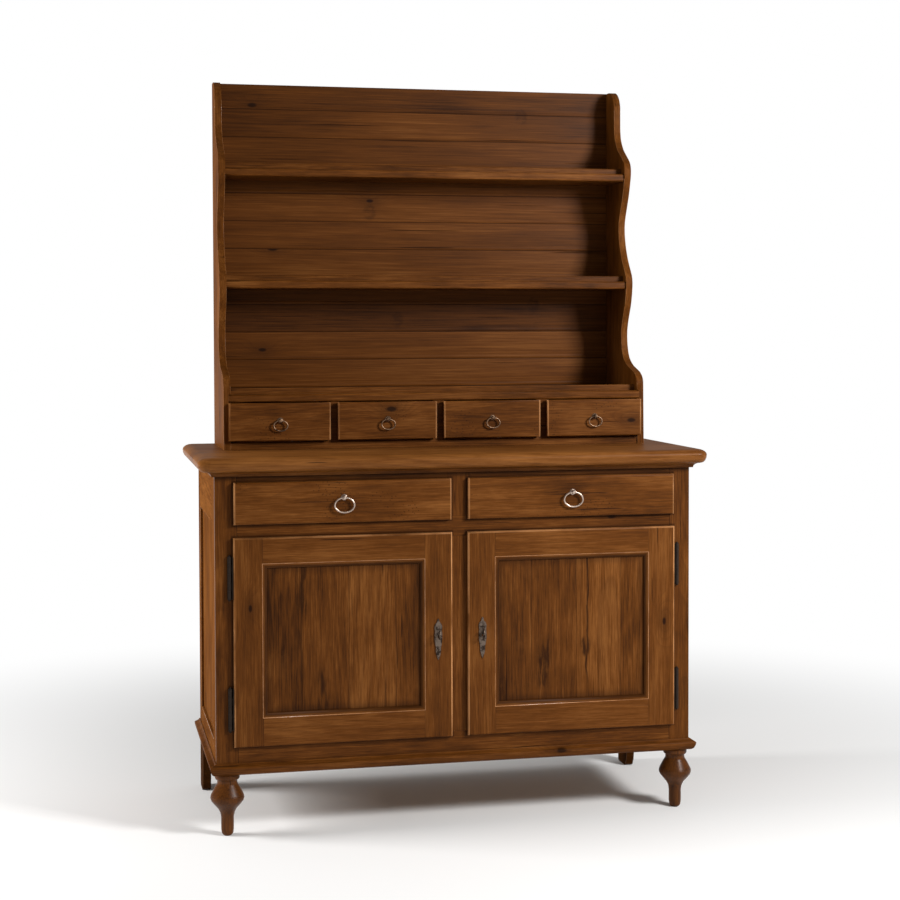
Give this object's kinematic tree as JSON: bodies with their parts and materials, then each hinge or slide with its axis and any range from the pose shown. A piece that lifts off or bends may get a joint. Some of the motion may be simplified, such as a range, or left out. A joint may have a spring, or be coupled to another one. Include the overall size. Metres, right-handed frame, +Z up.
{
  "type": "sideboard with plate rack",
  "caption": "Stained pine sideboard with panelled doors and drawers on turned front feet, under a rack of shelves with scalloped sides and small drawers.",
  "frame": {"origin": "on the floor, under the middle of the outer box", "axes": "+Z up, -Y the front with the doors, +X to the right for someone who faces the front"},
  "size_m": [1.296, 0.561, 1.9],
  "materials": {
    "stained_pine": "dark stained pine, waxed to a low gloss",
    "stained_pine_panel": "dark stained pine with upright grain, waxed",
    "dark_stained_pine": "dark stained pine boards",
    "bare_pine": "plain pine, dry and unpolished",
    "dark_iron": "dark iron, rubbed",
    "worn_pewter": "dark metal with worn bright edges"
  },
  "bodies": {
    "case": {"face_frame": "stained_pine", "centre_stile": "stained_pine", "worktop": "stained_pine", "bed_moulding": "stained_pine", "plinth_moulding": "stained_pine", "side_frame_left": "stained_pine", "side_frame_right": "stained_pine", "side_panel_left": "stained_pine_panel", "side_panel_right": "stained_pine_panel", "front_foot_left": "stained_pine", "front_foot_right": "stained_pine", "case_back": "dark_stained_pine", "case_floor": "bare_pine", "cupboard_shelf": "bare_pine", "drawer_frame": "bare_pine", "hinge_frame_leaf_lower_left": "dark_iron", "hinge_frame_leaf_upper_left": "dark_iron", "hinge_frame_leaf_lower_right": "dark_iron", "hinge_frame_leaf_upper_right": "dark_iron", "rack_side_left": "stained_pine", "rack_side_right": "stained_pine", "lower_shelf": "stained_pine", "middle_shelf": "stained_pine", "top_shelf": "stained_pine", "rack_back": "dark_stained_pine", "rack_base": "stained_pine"},
    "door_left": {"door_frame_left": "stained_pine", "door_panel_left": "stained_pine_panel", "hinge_door_leaf_lower_left": "dark_iron", "hinge_door_leaf_upper_left": "dark_iron", "lock_case_left": "dark_iron", "lock_plate_left": "worn_pewter"},
    "key_left": {"key_left": "worn_pewter"},
    "lock_bolt_left": {"lock_bolt_left": "dark_iron"},
    "base_drawer_left": {"base_drawer_left": "stained_pine", "pull_post_base_left": "worn_pewter"},
    "pull_ring_base_left": {"pull_ring_base_left": "worn_pewter"},
    "door_right": {"door_frame_right": "stained_pine", "door_panel_right": "stained_pine_panel", "hinge_door_leaf_lower_right": "dark_iron", "hinge_door_leaf_upper_right": "dark_iron", "lock_case_right": "dark_iron", "lock_plate_right": "worn_pewter"},
    "key_right": {"key_right": "worn_pewter"},
    "lock_bolt_right": {"lock_bolt_right": "dark_iron"},
    "base_drawer_right": {"base_drawer_right": "stained_pine", "pull_post_base_right": "worn_pewter"},
    "pull_ring_base_right": {"pull_ring_base_right": "worn_pewter"},
    "small_drawer_1": {"small_drawer_1": "stained_pine", "pull_post_small_1": "worn_pewter"},
    "pull_ring_small_1": {"pull_ring_small_1": "worn_pewter"},
    "small_drawer_2": {"small_drawer_2": "stained_pine", "pull_post_small_2": "worn_pewter"},
    "pull_ring_small_2": {"pull_ring_small_2": "worn_pewter"},
    "small_drawer_3": {"small_drawer_3": "stained_pine", "pull_post_small_3": "worn_pewter"},
    "pull_ring_small_3": {"pull_ring_small_3": "worn_pewter"},
    "small_drawer_4": {"small_drawer_4": "stained_pine", "pull_post_small_4": "worn_pewter"},
    "pull_ring_small_4": {"pull_ring_small_4": "worn_pewter"}
  },
  "joints": [
    {"name": "door_left_hinge", "type": "hinge", "parent": "case", "child": "door_left", "pos_m": [-0.572, -0.243, 0.47775], "axis": [0, 0, -1], "range_deg": [0, 155]},
    {"name": "key_left_turn", "type": "hinge", "parent": "door_left", "child": "key_left", "pos_m": [-0.0565, -0.2307, 0.47991], "axis": [0, 1, 0], "range_deg": [0, 180]},
    {"name": "lock_bolt_left_slide", "type": "slide", "parent": "door_left", "child": "lock_bolt_left", "axis": [1, 0, 0], "range_m": [0, 0.008]},
    {"name": "base_drawer_left_slide", "type": "slide", "parent": "case", "child": "base_drawer_left", "axis": [0, -1, 0], "range_m": [0, 0.33]},
    {"name": "pull_ring_base_left_swing", "type": "hinge", "parent": "base_drawer_left", "child": "pull_ring_base_left", "pos_m": [-0.29125, -0.2613, 0.8275], "axis": [-1, 0, 0], "range_deg": [-8, 172]},
    {"name": "door_right_hinge", "type": "hinge", "parent": "case", "child": "door_right", "pos_m": [0.572, -0.243, 0.47775], "axis": [0, 0, 1], "range_deg": [0, 155]},
    {"name": "key_right_turn", "type": "hinge", "parent": "door_right", "child": "key_right", "pos_m": [0.0565, -0.2307, 0.47991], "axis": [0, 1, 0], "range_deg": [0, 180]},
    {"name": "lock_bolt_right_slide", "type": "slide", "parent": "door_right", "child": "lock_bolt_right", "axis": [-1, 0, 0], "range_m": [0, 0.008]},
    {"name": "base_drawer_right_slide", "type": "slide", "parent": "case", "child": "base_drawer_right", "axis": [0, -1, 0], "range_m": [0, 0.33]},
    {"name": "pull_ring_base_right_swing", "type": "hinge", "parent": "base_drawer_right", "child": "pull_ring_base_right", "pos_m": [0.29125, -0.2613, 0.8275], "axis": [-1, 0, 0], "range_deg": [-8, 172]},
    {"name": "small_drawer_1_slide", "type": "slide", "parent": "case", "child": "small_drawer_1", "axis": [0, -1, 0], "range_m": [0, 0.17]},
    {"name": "pull_ring_small_1_swing", "type": "hinge", "parent": "small_drawer_1", "child": "pull_ring_small_1", "pos_m": [-0.41944, -0.0333, 1.0057], "axis": [-1, 0, 0], "range_deg": [-12, 168]},
    {"name": "small_drawer_2_slide", "type": "slide", "parent": "case", "child": "small_drawer_2", "axis": [0, -1, 0], "range_m": [0, 0.17]},
    {"name": "pull_ring_small_2_swing", "type": "hinge", "parent": "small_drawer_2", "child": "pull_ring_small_2", "pos_m": [-0.13981, -0.0333, 1.0057], "axis": [-1, 0, 0], "range_deg": [-12, 168]},
    {"name": "small_drawer_3_slide", "type": "slide", "parent": "case", "child": "small_drawer_3", "axis": [0, -1, 0], "range_m": [0, 0.17]},
    {"name": "pull_ring_small_3_swing", "type": "hinge", "parent": "small_drawer_3", "child": "pull_ring_small_3", "pos_m": [0.13981, -0.0333, 1.0057], "axis": [-1, 0, 0], "range_deg": [-12, 168]},
    {"name": "small_drawer_4_slide", "type": "slide", "parent": "case", "child": "small_drawer_4", "axis": [0, -1, 0], "range_m": [0, 0.17]},
    {"name": "pull_ring_small_4_swing", "type": "hinge", "parent": "small_drawer_4", "child": "pull_ring_small_4", "pos_m": [0.41944, -0.0333, 1.0057], "axis": [-1, 0, 0], "range_deg": [-12, 168]}
  ],
  "couplings": [
    {"joint": "key_left_turn", "follows": "lock_bolt_left_slide", "rad_per_m": 392.7},
    {"joint": "key_right_turn", "follows": "lock_bolt_right_slide", "rad_per_m": 392.7}
  ]
}
